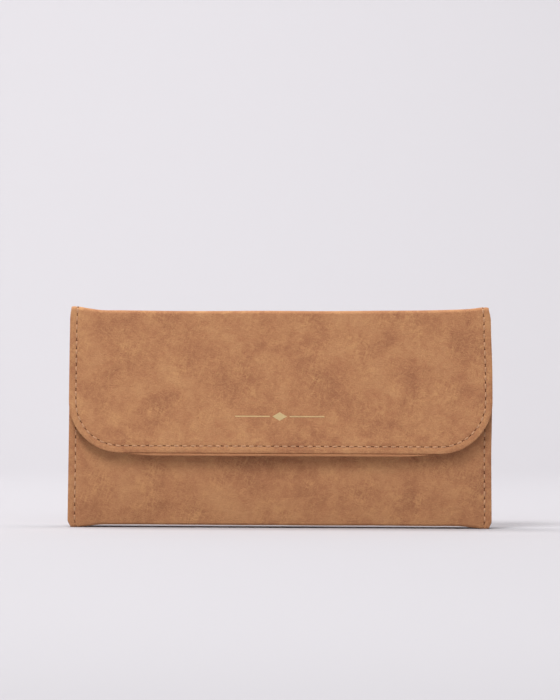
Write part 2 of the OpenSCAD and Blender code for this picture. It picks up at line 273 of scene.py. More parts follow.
class Fold:
    """A panel's outer face: a path in the YZ plane with rounded corners, run along X."""

    def __init__(self, corners, radii=(), lift=0.0, seed=0.0, start=0.0):
        self.lift, self.seed, self.start, self.join = lift, seed, start, None
        self.points, self.normals = rounded_path(corners, radii)
        self.s = run_length(self.points)
        self.length = self.s[-1]

    def at(self, x, s, height=0.0):
        """Points and normals, height above the face. A negative s runs on straight before its start."""
        x, s = np.broadcast_arrays(np.asarray(x, float), np.asarray(s, float))
        before = np.minimum(s, 0)[..., None] * (self.points[1] - self.points[0]) / self.s[1]
        y = np.interp(s, self.s, self.points[:, 0])
        z = np.interp(s, self.s, self.points[:, 1])
        ny = np.interp(s, self.s, self.normals[:, 0])
        nz = np.interp(s, self.s, self.normals[:, 1])
        n = np.stack([np.zeros_like(ny), ny, nz], -1)
        n /= np.linalg.norm(n, axis=-1, keepdims=True)
        rise = self.lift * waves(x, s, self.seed) * smooth(0, 12, HALF_W - abs(x))
        if self.join is not None:
            rise = rise * smooth(0, 10, abs(s - self.join))
        p = np.stack([x, y, z], -1) + n * (np.asarray(height) + rise)[..., None]
        p[..., 1:] += before
        return settle(p), n


def settle(p):
    """The small sags of folded leather: ears at the four corners, a sunken top, a raised base."""
    form = bpy.context.scene.wallet_form
    x, y, z = p[..., 0], p[..., 1], p[..., 2]
    side, rear = np.abs(x), smooth(-8, 10, y)
    # The top sinks and the base lifts, both fading out towards the stiff side edges.
    dip_x = [-95.5, -90, -84, -74, -20, 45, 75, 88, 95]
    dip = form.top_dip * soft_line(x, dip_x, [-0.3, 0.2, 0.88, 1.0, 1.0, 0.75, 0.35, -0.05, -0.6])
    arch = soft_line(side, [74, 85, 90, 94], [1, 0.8, 0.3, 0])
    sag = 0.85 * rear * hump(x, 6, 12)
    rise = (form.base_rise + form.rear_rise * rear) * arch * (1 - sag)
    near_top, near_base = smooth(82, 99, z), 1 - smooth(0, 17, z)
    z = z - dip * near_top + rise * near_base
    # The sides lean in towards the top, and the right one swells above its middle.
    taper = 0.0050 - 0.0035 * (x < 0) - 0.011 * z / FULL_HEIGHT
    swell = 0.55 * smooth(30, 60, z) * (1 - smooth(70, 96, z)) * (1 - rear) * (x > 0)
    x = x * (1 + taper) + swell * smooth(40, 97, x)
    # The four corners are turned in a little.
    turned = smooth(91, HALF_W, side)
    low_corner = 1.5 * turned * (1 - smooth(-0.5, 3.2, z))
    high_corner = (0.55 + 0.4 * (x > 0)) * turned * smooth(TOP - 5, TOP + 0.6, z)
    x = x - np.sign(x) * (low_corner + high_corner)
    return np.stack([x, y, z], -1)


def rect_cut(xs, ss, cut_low=True, cut_high=True):
    """A rectangular cut: points, faces, rim and distance from the cut edges."""
    xs, ss = np.asarray(xs), np.asarray(ss)
    cols, rows = len(xs), len(ss)
    x, s = np.meshgrid(xs, ss)
    x, s = x.ravel(), s.ravel()
    quads = [
        (r * cols + c, r * cols + c + 1, (r + 1) * cols + c + 1, (r + 1) * cols + c)
        for r in range(rows - 1)
        for c in range(cols - 1)
    ]
    last = (rows - 1) * cols
    rim = list(range(cols)) + [r * cols + cols - 1 for r in range(1, rows)]
    rim += [last + c for c in range(cols - 2, -1, -1)] + [r * cols for r in range(rows - 2, 0, -1)]
    d = np.minimum(xs[-1] - x, x - xs[0])
    if cut_low:
        d = np.minimum(d, s - ss[0])
    if cut_high:
        d = np.minimum(d, ss[-1] - s)
    return {"x": x, "s": s, "d": d, "quads": quads, "rim": rim}


def flap_ring(a, rows, side_inset, end_inset, end_parts=FLAP_PARTS):
    """One outline of the flap, a in from its edge: down the left side, along the end, up the right."""
    b = a * end_inset / side_inset if a < side_inset else a + end_inset - side_inset
    r = FLAP_RADIUS - a
    cx, cs = HALF_W - FLAP_RADIUS, b + r
    angles = [math.pi * (1 + 0.5 * k / CORNER_PARTS) for k in range(CORNER_PARTS + 1)]
    left = [(a - HALF_W, s) for s in rows] + [(-cx + r * math.cos(t), cs + r * math.sin(t)) for t in angles]
    end = [(-cx + 2 * cx * k / end_parts, b) for k in range(1, end_parts)]
    return left + end + [(-x, s) for x, s in reversed(left)]


def flap_cut(rows, side_inset, end_inset):
    """The flap's cut, with rings that run along its edge and its seam."""
    rings = [flap_ring(a, rows, side_inset, end_inset) for a in EDGE_STEPS]
    size, half = len(rings[0]), len(rows) + CORNER_PARTS + 1
    x = [p[0] for ring in rings for p in ring]
    s = [p[1] for ring in rings for p in ring]
    d = [a for a in EDGE_STEPS for _ in range(size)]
    quads = []
    for k in range(len(rings) - 1):
        for i in range(size - 1):
            quads.append((k * size + i, k * size + i + 1, (k + 1) * size + i + 1, (k + 1) * size + i))
    inner = (len(rings) - 1) * size
    grid = []
    for i in range(half - 1):
        first, last = inner + i, inner + size - 1 - i
        row = [first]
        for k in range(1, FLAP_PARTS):
            t = k / FLAP_PARTS
            row.append(len(x))
            x.append(x[first] * (1 - t) + x[last] * t)
            s.append(s[first] * (1 - t) + s[last] * t)
            d.append(max(EDGE_STEPS[-1], min(HALF_W - abs(x[-1]), s[-1])))
        grid.append(row + [last])
    grid.append([inner + half - 1 + k for k in range(FLAP_PARTS + 1)])
    for upper, lower in zip(grid, grid[1:]):
        for k in range(FLAP_PARTS):
            quads.append((lower[k], lower[k + 1], upper[k + 1], upper[k]))
    rim = list(range(size)) + [k * size + size - 1 for k in range(1, len(rings))]
    rim += grid[0][-2:0:-1] + [k * size for k in range(len(rings) - 1, 0, -1)]
    return {"x": np.array(x), "s": np.array(s), "d": np.array(d), "quads": quads, "rim": rim}


def add_object(name, data):
    """A new object at the origin, linked to the scene."""
    made = bpy.data.objects.new(name, data)
    bpy.context.scene.collection.objects.link(made)
    return made


def make_piece(name, verts, faces, material, uv=None):
    """A mesh object from points in millimetres."""
    mesh = bpy.data.meshes.new(name)
    mesh.from_pydata([tuple(v) for v in np.asarray(verts) * MM], [], faces)
    mesh.polygons.foreach_set("use_smooth", [True] * len(mesh.polygons))
    if uv is not None:
        layer = mesh.uv_layers.new(name="pattern")
        loops = np.zeros(len(mesh.loops), int)
        mesh.loops.foreach_get("vertex_index", loops)
        layer.data.foreach_set("uv", np.asarray(uv)[loops].ravel().astype(np.float32))
    mesh.materials.append(material)
    mesh.update()
    mesh.set_sharp_from_angle(angle=math.radians(50))
    return add_object(name, mesh)


def make_ply(name, outer, inner, cut, material, u, v):
    """A closed ply from its two faces, which share one cut, with its place on the pattern."""
    count = len(outer)
    faces = list(cut["quads"])
    faces += [tuple(i + count for i in reversed(quad)) for quad in cut["quads"]]
    rim = cut["rim"]
    faces += [(b, a, a + count, b + count) for a, b in zip(rim, rim[1:] + rim[:1])]
    uv = np.stack([u, v], -1) / PATTERN_MM
    return make_piece(name, np.concatenate([outer, inner]), faces, material, np.concatenate([uv, uv]))


def sheet_piece(name, cut, fold, material, top, thick, drop=None, relief=None, origin=(0, 0)):
    """A ply of leather or lining, cut flat and folded. Its face lies at height top over the fold's."""
    x, s, d = cut["x"], cut["s"], cut["d"]
    lift = relief(x, s, d) if relief else np.zeros_like(x)
    round_off = np.clip(1 - d / 0.45, 0, 1) ** 2
    hang = s - drop(x, s) if drop else s
    outer, _ = fold.at(x, hang, top + lift - 0.22 * round_off * min(1.0, thick))
    inner, _ = fold.at(x, hang, top - thick + 0.16 * round_off * min(1.0, thick))
    return make_ply(name, outer, inner, cut, material, x + origin[0], s + fold.start + origin[1])


def grid_piece(name, points, thick, material, origin=(0, 0)):
    """A closed thin ply from a grid of points: thick is laid behind the face that they make."""
    points = np.asarray(points, float)
    rows, cols = points.shape[:2]
    normal = np.cross(np.gradient(points, axis=1), np.gradient(points, axis=0))
    normal /= np.maximum(np.linalg.norm(normal, axis=-1, keepdims=True), 1e-9)
    cut = rect_cut(np.arange(cols), np.arange(rows))
    outer, inner = points.reshape(-1, 3), (points - normal * thick).reshape(-1, 3)
    u, v = np.meshgrid(run_length(points[rows // 2]), run_length(points[:, cols // 2]))
    return make_ply(name, outer, inner, cut, material, u.ravel() + origin[0], v.ravel() + origin[1])


def merge_pieces(name, parts):
    """One piece from several of the same finish."""
    joined = bmesh.new()
    for part in parts:
        joined.from_mesh(part.data)
    mesh = parts[0].data.copy()
    joined.to_mesh(mesh)
    joined.free()
    mesh.name = name
    for part in parts:
        bpy.data.objects.remove(part)
    return add_object(name, mesh)


def tube_faces(rings, around, flipped=False):
    """Faces of a tube of rings of points, closed at both ends."""
    quads = []
    for low in range(0, (rings - 1) * around, around):
        for k in range(around):
            j = (k + 1) % around
            quads.append((low + k, low + j, low + around + j, low + around + k))
    ends = [tuple(range(around - 1, -1, -1)), tuple(range((rings - 1) * around, rings * around))]
    if flipped:
        quads = [(quad[0], *quad[:0:-1]) for quad in quads]
        ends = [end[::-1] for end in ends]
    return quads + ends


def turned_piece(name, profile, centre_z, material):
    """A part turned about an axis along Y through X 0, from its profile of (radius, y) points."""
    around = 48
    verts = []
    for r, y in profile:
        for k in range(around):
            a = 2 * math.pi * k / around
            verts.append((r * math.cos(a), y, centre_z + r * math.sin(a)))
    return make_piece(name, verts, tube_faces(len(profile), around), material)


# ---- finishes -----------------------------------------------------------------------------


def new_finish(name):
    """An empty material, its node tree and its main shader."""
    material = bpy.data.materials.new(name)
    material.use_nodes = True
    tree = material.node_tree
    return material, tree, tree.nodes["Principled BSDF"]


def feed(tree, node, inputs):
    """Gives a node's inputs, by name or number, their values or links."""
    for key, value in inputs.items():
        if isinstance(value, bpy.types.NodeSocket):
            tree.links.new(value, node.inputs[key])
        else:
            node.inputs[key].default_value = value


def add_node(tree, kind, inputs=None, **settings):
    """A node with its settings and its input values or links."""
    node = tree.nodes.new(kind)
    for key, value in settings.items():
        setattr(node, key, value)
    feed(tree, node, inputs or {})
    return node


def noise(tree, place, scale, detail=4.0, roughness=0.55, distortion=0.0):
    """The value output of a noise texture."""
    inputs = {
        "Vector": place,
        "Scale": scale,
        "Detail": detail,
        "Roughness": roughness,
        "Distortion": distortion,
    }
    return add_node(tree, "ShaderNodeTexNoise", inputs).outputs["Fac"]


def sums(tree, *parts):
    """A weighted sum of values, given as (output, weight) pairs."""
    total = None
    for output, weight in parts:
        inputs = {0: output, 1: weight, 2: 0.0 if total is None else total}
        total = add_node(tree, "ShaderNodeMath", inputs, operation="MULTIPLY_ADD").outputs[0]
    return total


def product(tree, first, second):
    """Two values multiplied."""
    return add_node(tree, "ShaderNodeMath", {0: first, 1: second}, operation="MULTIPLY").outputs[0]


def ramp(tree, value, stops):
    """A colour ramp through (place, colour) stops."""
    node = add_node(tree, "ShaderNodeValToRGB", {"Fac": value})
    points = node.color_ramp.elements
    while len(points) < len(stops):
        points.new(0.5)
    for point, (place, colour) in zip(points, stops):
        point.position = place
        point.color = (*colour, 1)
    return node.outputs["Color"]


def tint(colour, factor):
    """A colour made darker or lighter by a factor."""
    return tuple(min(1.0, c * factor) for c in colour)


def band(tree, value, low, high):
    """Maps a value so that low gives 0 and high gives 1, held at both."""
    inputs = {"Value": value, "From Min": low, "From Max": high}
    return add_node(tree, "ShaderNodeMapRange", inputs).outputs["Result"]


def blend_colour(tree, share, first, second):
    """Mixes a colour output with a plain colour by a share."""
    inputs = {0: share, 6: first, 7: (*second, 1)}
    return add_node(tree, "ShaderNodeMix", inputs, data_type="RGBA").outputs[2]


def bump(tree, height, strength, distance, under=None):
    """A bump node's normal output."""
    inputs = {"Height": height, "Strength": strength, "Distance": distance}
    if under is not None:
        inputs["Normal"] = under
    return add_node(tree, "ShaderNodeBump", inputs).outputs["Normal"]


def turned_noise(tree, place, angle, stretch, scale):
    """Streaky noise that runs along one direction."""
    inputs = {"Vector": place, "Rotation": (0, 0, angle), "Scale": (1, 1 / stretch, 1)}
    way = add_node(tree, "ShaderNodeMapping", inputs, vector_type="TEXTURE").outputs["Vector"]
    return noise(tree, way, scale, 2.0, 0.45, 0.7)


def ridge(tree, value, width):
    """Thin lines where a value passes its middle."""
    off = add_node(tree, "ShaderNodeMath", {0: value, 1: 0.5}, operation="SUBTRACT").outputs[0]
    off = add_node(tree, "ShaderNodeMath", {0: off}, operation="ABSOLUTE").outputs[0]
    return band(tree, off, width, 0.0)


def nubuck_finish(name, light, mid, dark, contrast=1.0, scuffs=1.0):
    """Mottled nubuck: cloudy tone, rubbed paler marks, fine nap and shallow creases."""
    material, tree, shader = new_finish(name)
    place = add_node(tree, "ShaderNodeUVMap", uv_map="pattern").outputs["UV"]
    clouds = noise(tree, place, 4.8, 4.0, 0.52, 0.4)
    mottle = noise(tree, place, 27.0, 6.0, 0.66, 0.8)
    nap = noise(tree, place, 190.0, 4.0, 0.62)
    grain = noise(tree, place, 620.0, 2.0, 0.5)
    tone = sums(tree, (clouds, 0.50), (mottle, 0.23), (nap, 0.27))
    spread = 0.115 / contrast
    body = ramp(tree, tone, [(0.5 - spread, dark), (0.5, mid), (0.5 + spread, light)])
    upstroke = ridge(tree, turned_noise(tree, place, 1.25, 4.0, 13.0), 0.07)
    downstroke = ridge(tree, turned_noise(tree, place, -0.5, 3.6, 16.0), 0.07)
    patches = band(tree, noise(tree, place, 9.0, 3.0, 0.5), 0.38, 0.66)
    strokes = sums(tree, (upstroke, 0.52 * scuffs), (downstroke, 0.44 * scuffs))
    share = product(tree, strokes, patches)
    rubbed = (light[0] * 1.12, light[1] * 1.17, light[2] * 1.10)
    body = blend_colour(tree, share, body, rubbed)
    warp = add_node(tree, "ShaderNodeTexNoise", {"Vector": place, "Scale": 30.0, "Detail": 4.0})
    leaning = {"Vector": place, "Rotation": (0, 0, 0.55), "Scale": (1, 1.7, 1)}
    leaning = add_node(tree, "ShaderNodeMapping", leaning).outputs["Vector"]
    bent = {0: warp.outputs["Color"], 1: (0.035, 0.035, 0), 2: leaning}
    bent = add_node(tree, "ShaderNodeVectorMath", bent, operation="MULTIPLY_ADD").outputs[0]
    inputs = {"Vector": bent, "Scale": 50.0, "Randomness": 1.0}
    cells = add_node(tree, "ShaderNodeTexVoronoi", inputs, feature="DISTANCE_TO_EDGE")
    line = band(tree, cells.outputs["Distance"], 0.14, 0.0)
    worn = product(tree, line, band(tree, mottle, 0.40, 0.64))
    body = blend_colour(tree, sums(tree, (worn, 0.5 * scuffs)), body, rubbed)
    shaded = sums(tree, (band(tree, mottle, 0.25, 0.75), -0.10))
    rough = add_node(tree, "ShaderNodeMath", {0: shaded, 1: 0.84}, operation="ADD").outputs[0]
    soft = bump(tree, sums(tree, (mottle, 1.0), (line, -0.22), (strokes, 0.25)), 0.45, 0.0006)
    fine = bump(tree, sums(tree, (nap, 1.0), (grain, 0.6)), 0.45, 0.0002, soft)
    feed(tree, shader, {"Base Color": body, "Roughness": rough, "Normal": fine})
    sheen = {"Sheen Weight": 0.08, "Sheen Roughness": 0.5, "Sheen Tint": (1.0, 0.84, 0.66, 1)}
    feed(tree, shader, {"Specular IOR Level": 0.26, **sheen})
    return material


def thread_finish(name, colour):
    """Waxed thread with a fine twist."""
    material, tree, shader = new_finish(name)
    place = add_node(tree, "ShaderNodeTexCoord").outputs["Object"]
    tone = noise(tree, place, 900.0, 3.0)
    body = ramp(tree, tone, [(0.3, tint(colour, 0.8)), (0.7, tint(colour, 1.12))])
    inputs = {"Vector": place, "Scale": 900.0, "Distortion": 1.0}
    twist = add_node(tree, "ShaderNodeTexWave", inputs, bands_direction="DIAGONAL").outputs["Fac"]
    feed(tree, shader, {"Base Color": body, "Normal": bump(tree, twist, 0.4, 0.0001)})
    feed(tree, shader, {"Roughness": 0.6, "Sheen Weight": 0.2})
    return material


def twill_finish(name, colour):
    """Fine woven lining with a diagonal rib."""
    material, tree, shader = new_finish(name)
    place = add_node(tree, "ShaderNodeUVMap", uv_map="pattern").outputs["UV"]
    turned = {"Vector": place, "Rotation": (0, 0, math.radians(38))}
    turned = add_node(tree, "ShaderNodeMapping", turned).outputs["Vector"]
    inputs = {"Vector": turned, "Scale": 46.0, "Distortion": 0.6}
    rib = add_node(tree, "ShaderNodeTexWave", inputs).outputs["Fac"]
    cloud = noise(tree, place, 30.0, 5.0, 0.6)
    tone = sums(tree, (rib, 0.45), (cloud, 0.55))
    body = ramp(tree, tone, [(0.25, tint(colour, 0.74)), (0.75, tint(colour, 1.16))])
    feed(tree, shader, {"Base Color": body, "Normal": bump(tree, rib, 0.5, 0.00012)})
    feed(tree, shader, {"Roughness": 0.82, "Sheen Weight": 0.25})
    return material


def metal_finish(name, colour, roughness):
    """Plated metal with a faint brushed unevenness."""
    material, tree, shader = new_finish(name)
    place = add_node(tree, "ShaderNodeTexCoord").outputs["Object"]
    brushed = {"Vector": place, "Scale": (1, 7, 7)}
    brushed = add_node(tree, "ShaderNodeMapping", brushed).outputs["Vector"]
    smear = noise(tree, brushed, 90.0, 4.0)
    shade = band(tree, smear, 0.2, 0.8)
    inputs = {0: shade, 1: 0.14, 2: roughness}
    rough = add_node(tree, "ShaderNodeMath", inputs, operation="MULTIPLY_ADD").outputs[0]
    body = ramp(tree, shade, [(0.0, tint(colour, 0.9)), (1.0, colour)])
    brush_marks = bump(tree, smear, 0.06, 0.00004)
    feed(tree, shader, {"Base Color": body, "Roughness": rough, "Normal": brush_marks, "Metallic": 1.0})
    return material


def plain_finish(name, colour, roughness, grain=300.0):
    """A matt finish with faint speckle."""
    material, tree, shader = new_finish(name)
    place = add_node(tree, "ShaderNodeTexCoord").outputs["Object"]
    speck = noise(tree, place, grain, 4.0)
    body = ramp(tree, speck, [(0.3, tint(colour, 0.88)), (0.7, tint(colour, 1.08))])
    feed(tree, shader, {"Base Color": body, "Normal": bump(tree, speck, 0.2, 0.0001), "Roughness": roughness})
    return material


FINISHES = {}


def finish(name):
    """The named finish, made on first use."""
    if name in FINISHES:
        return FINISHES[name]
    tones = bpy.context.scene.wallet_colours
    light, mid, dark = tuple(tones.hide_light), tuple(tones.hide_mid), tuple(tones.hide_dark)
    if name == "nubuck":
        made = nubuck_finish(name, light, mid, dark)
    # The front panel's nubuck is the main nubuck made 6% darker: painted shade for the front below the flap.
    elif name == "front_nubuck_painted_shade":
        made = nubuck_finish(name, tint(light, 0.94), tint(mid, 0.94), tint(dark, 0.94))
    elif name == "inner_nubuck":
        made = nubuck_finish(name, tint(light, 0.92), tint(mid, 0.95), dark, contrast=0.6, scuffs=0.3)
    elif name == "thread":
        made = thread_finish(name, tuple(tones.thread))
    # Needle holes: a dark colour painted on for the shade inside each hole.
    elif name == "needle_hole_painted_shade":
        made = plain_finish(name, (0.105, 0.033, 0.013), 0.95)
    elif name == "twill":
        made = twill_finish(name, tuple(tones.twill))
    elif name == "gold":
        made = metal_finish(name, tuple(tones.gold), 0.2)
    elif name == "foil":
        made = metal_finish(name, (0.95, 0.72, 0.38), 0.42)
    elif name == "steel":
        made = metal_finish(name, (0.56, 0.56, 0.54), 0.4)
    elif name == "greyboard":
        made = plain_finish(name, (0.34, 0.3, 0.25), 0.9)
    else:
        made = plain_finish(name, (0.26, 0.14, 0.075), 0.85)
    FINISHES[name] = made
    return made


# ---- rows of stitches, holes and teeth ----------------------------------------------------


def row_tree():
    """Node tree that sets one form after another along lines, each with its up direction."""
    name = "form_row"
    if name in bpy.data.node_groups:
        return bpy.data.node_groups[name]
    tree = bpy.data.node_groups.new(name, "GeometryNodeTree")
    tree.is_modifier = True
    for label, kind, value in (
        ("Lines", "NodeSocketGeometry", None),
        ("Start", "NodeSocketFloat", 0.0),
        ("Pitch", "NodeSocketFloat", 0.0038),
        ("Form", "NodeSocketObject", None),
        ("Finish", "NodeSocketMaterial", None),
        ("Unevenness", "NodeSocketFloat", 0.04),
    ):
        socket = tree.interface.new_socket(label, in_out="INPUT", socket_type=kind)
        if value is not None:
            socket.default_value = value
    tree.interface.new_socket("Rows", in_out="OUTPUT", socket_type="NodeSocketGeometry")
    way_in = tree.nodes.new("NodeGroupInput").outputs
    curve = add_node(tree, "GeometryNodeMeshToCurve", {"Mesh": way_in["Lines"]}).outputs["Curve"]
    trimmed = add_node(tree, "GeometryNodeTrimCurve", {"Curve": curve}, mode="LENGTH")
    from_length, to_length = trimmed.inputs[4], trimmed.inputs[5]
    tree.links.new(way_in["Start"], from_length)
    whole = add_node(tree, "GeometryNodeSplineLength").outputs["Length"]
    end = add_node(tree, "ShaderNodeMath", {0: whole, 1: way_in["Start"]}, operation="SUBTRACT")
    tree.links.new(end.outputs[0], to_length)
    spaced = add_node(tree, "GeometryNodeResampleCurve", {"Curve": trimmed.outputs[0]}, mode="LENGTH")
    tree.links.new(way_in["Pitch"], spaced.inputs["Length"])
    up = add_node(tree, "GeometryNodeInputNamedAttribute", {"Name": "up"}, data_type="FLOAT_VECTOR")
    along = add_node(tree, "GeometryNodeInputTangent").outputs[0]
    axes = {0: up.outputs["Attribute"], 1: along}
    turn = add_node(tree, "FunctionNodeAxesToRotation", axes, primary_axis="Z", secondary_axis="X")
    limits = {0: (-1, -1, -1), 1: (1, 1, 1), "Seed": 11}
    jitter = add_node(tree, "FunctionNodeRandomValue", limits, data_type="FLOAT_VECTOR")
    inputs = {0: jitter.outputs[0], 3: way_in["Unevenness"]}
    amount = add_node(tree, "ShaderNodeVectorMath", inputs, operation="SCALE")
    inputs = {0: turn.outputs[0], 1: amount.outputs[0]}
    loose = add_node(tree, "FunctionNodeRotateRotation", inputs, rotation_space="LOCAL")
    form = add_node(tree, "GeometryNodeObjectInfo", {"Object": way_in["Form"]}).outputs["Geometry"]
    inputs = {"Points": spaced.outputs[0], "Instance": form, "Rotation": loose.outputs[0]}
    placed = add_node(tree, "GeometryNodeInstanceOnPoints", inputs)
    real = add_node(tree, "GeometryNodeRealizeInstances", {0: placed.outputs[0]})
    inputs = {"Geometry": real.outputs[0], "Material": way_in["Finish"]}
    done = add_node(tree, "GeometryNodeSetMaterial", inputs)
    tree.links.new(done.outputs[0], tree.nodes.new("NodeGroupOutput").inputs[0])
    return tree


def form_object(name, verts, faces):
    """A small form that the rows repeat. It is removed when its rows are made."""
    mesh = bpy.data.meshes.new(name)
    mesh.from_pydata([tuple(v) for v in np.asarray(verts) * MM], [], faces)
    mesh.polygons.foreach_set("use_smooth", [True] * len(mesh.polygons))
    return add_object(name, mesh)


def stitch_form(length, width, height):
    """One stitch: a rounded thread whose two ends dive into the needle holes."""
    rings, around = 9, 8
    verts = []
    for i in range(rings):
        t = -1 + 2 * i / (rings - 1)
        swell = math.sqrt(max(0.0, 1 - abs(t) ** 3.2)) * 0.9 + 0.1
        centre = height * (0.62 - 1.25 * abs(t) ** 3)
        for k in range(around):
            a = 2 * math.pi * k / around
            y = 0.5 * width * swell * math.cos(a)
            z = centre + 0.5 * height * 1.5 * swell * math.sin(a)
            verts.append((t * length / 2, y, z))
    return form_object("stitch_form", verts, tube_faces(rings, around, flipped=True))


def hole_form(length, width):
    """A needle hole as painted shade: a shallow dark dish lying on the leather, standing in for the shade
    inside the hole.
    """
    around = 12
    verts = [(0, 0, 0.0)]
    for r, z in ((0.62, 0.02), (1.0, 0.045), (1.12, -0.12)):
        for k in range(around):
            a = 2 * math.pi * k / around
            verts.append((r * length / 2 * math.cos(a), r * width / 2 * math.sin(a), z))
    faces = [(0, 1 + k, 1 + (k + 1) % around) for k in range(around)]
    for ring in range(2):
        low, high = 1 + ring * around, 1 + (ring + 1) * around
        for k in range(around):
            j = (k + 1) % around
            faces.append((low + k, high + k, high + j, low + j))
    faces.append(tuple(1 + 2 * around + k for k in range(around - 1, -1, -1)))
    return form_object("hole_form", verts, faces)


def tooth_form():
    """One zip tooth: a small rounded block reaching over the middle of the chain."""
    outline = [(-0.42, 0), (-0.42, 0.95), (-0.26, 1.28), (0.26, 1.28), (0.42, 0.95), (0.42, 0)]
    rings = [(-0.15, 0.78), (0.1, 1.0), (0.95, 1.0), (1.16, 0.75)]
    verts = [(x * squeeze, reach, (z - 0.64) * squeeze) for reach, squeeze in rings for x, z in outline]
    return form_object("tooth_form", verts, tube_faces(len(rings), len(outline)))


def row_piece(name, lines, form, material, pitch, start=0.0, unevenness=0.04):
    """Runs the row tree on lines, each a pair of point and up arrays, and returns a plain mesh."""
    mesh = bpy.data.meshes.new(name + "_lines")
    verts, edges, ups = [], [], []
    for points, up in lines:
        base = len(verts)
        verts += [tuple(p) for p in np.asarray(points) * MM]
        ups += [tuple(u) for u in np.asarray(up)]
        edges += [(base + i, base + i + 1) for i in range(len(points) - 1)]
    mesh.from_pydata(verts, edges, [])
    attribute = mesh.attributes.new("up", "FLOAT_VECTOR", "POINT")
    attribute.data.foreach_set("vector", np.array(ups, np.float32).ravel())
    holder = add_object(name + "_lines", mesh)
    tree = row_tree()
    modifier = holder.modifiers.new("rows", "NODES")
    modifier.node_group = tree
    keys = {s.name: s.identifier for s in tree.interface.items_tree if s.in_out == "INPUT"}
    values = {"Start": start, "Pitch": pitch, "Form": form, "Finish": material, "Unevenness": unevenness}
    for label, value in values.items():
        modifier[keys[label]] = value
    graph = bpy.context.evaluated_depsgraph_get()
    made = bpy.data.meshes.new_from_object(holder.evaluated_get(graph), depsgraph=graph)
    made.name = name
    piece = add_object(name, made)
    bpy.data.objects.remove(holder)
    return piece


def seam_pieces(name, lines, pitch, length, width, height, hole=1.28):
    """The stitches of a seam and the needle holes between them, painted as dark dishes of shade, as two
    pieces.
    """
    thread, needle = stitch_form(length, width, height), hole_form(hole, hole * 0.92)
    stitches = row_piece(name + "_thread", lines, thread, finish("thread"), pitch, pitch / 2)
    # The hole dishes carry painted shade, not a real recess.
    holes = row_piece(name + "_holes", lines, needle, finish("needle_hole_painted_shade"), pitch, 0.0)
    for form in (thread, needle):
        bpy.data.objects.remove(form)
    return stitches, holes


# ---- the shell's folds --------------------------------------------------------------------


FOLDS = {}


def shell_folds():
    """The outer faces of flap, back and front as folds, made once."""
    if not FOLDS:
        wave = bpy.context.scene.wallet_form.wave
        flap = Fold([(FLAP, FLAP_END), (FLAP, TOP), (0, TOP)], [TOP_RADIUS], wave, 0.3)
        corners = [(0, TOP), (BACK, TOP), (BACK, 0), (BASE_END, 0)]
        back = Fold(corners, [TOP_RADIUS, BASE_RADIUS], wave, 1.1, flap.length)
        front = Fold([(BASE_END - 0.4, 0), (FRONT, 0), (FRONT, MOUTH)], [1.2], wave, 2.4, 300.0)
        flap.join, back.join = flap.length, 0.0
        FOLDS.update(flap=flap, back=back, front=front)
    return FOLDS


def fold_rows(fold, gap=2.2, cut_low=True, cut_high=True):
    """Row places along a fold: close together at its bends and cut ends."""
    edge = np.array(EDGE_STEPS)
    marks = [fold.s]
    low, high = 0.0, fold.length
    least_gap = 0.1
    if cut_low:
        marks.append(edge)
        low = edge[-1]
    if cut_high:
        marks.append(fold.length - edge)
        high -= edge[-1]
    marks.append(steps(low, high, gap))
    rows = np.unique(np.round(np.concatenate(marks), 3))
    keep = [rows[0]]
    for r in rows[1:]:
        if r - keep[-1] > least_gap:
            keep.append(r)
    keep[-1] = fold.length
    return np.array(keep)


def flap_rows(gap):
    """Row places down the flap, from the top to the start of its round corners."""
    rows = fold_rows(shell_folds()["flap"], gap, False, False)
    return list(rows[rows > FLAP_RADIUS + 2][::-1])


def seam_relief(inset):
    """Relief of a sewn edge: a groove along the seam and a slight swell beside it."""
    puff, groove = 0.12, 0.2

    def relief(x, s, d):
        trough = -groove * hump(d, inset, 0.5)
        swell = puff * hump(d, inset * 0.5, 0.9) * (d > 0.3)
        beyond = puff * 0.7 * hump(d - inset, 2.2, 1.1)
        return trough + swell + beyond

    return relief


def side_line(fold, side, low, high, inset, height=0.0):
    """A seam line along one side edge of a fold, as points and up directions."""
    s = np.unique(np.concatenate([steps(low, high, 1.0), fold.s[(fold.s > low) & (fold.s < high)]]))
    return fold.at(np.full_like(s, side * (HALF_W - inset)), s, height)


# ---- operators ----------------------------------------------------------------------------


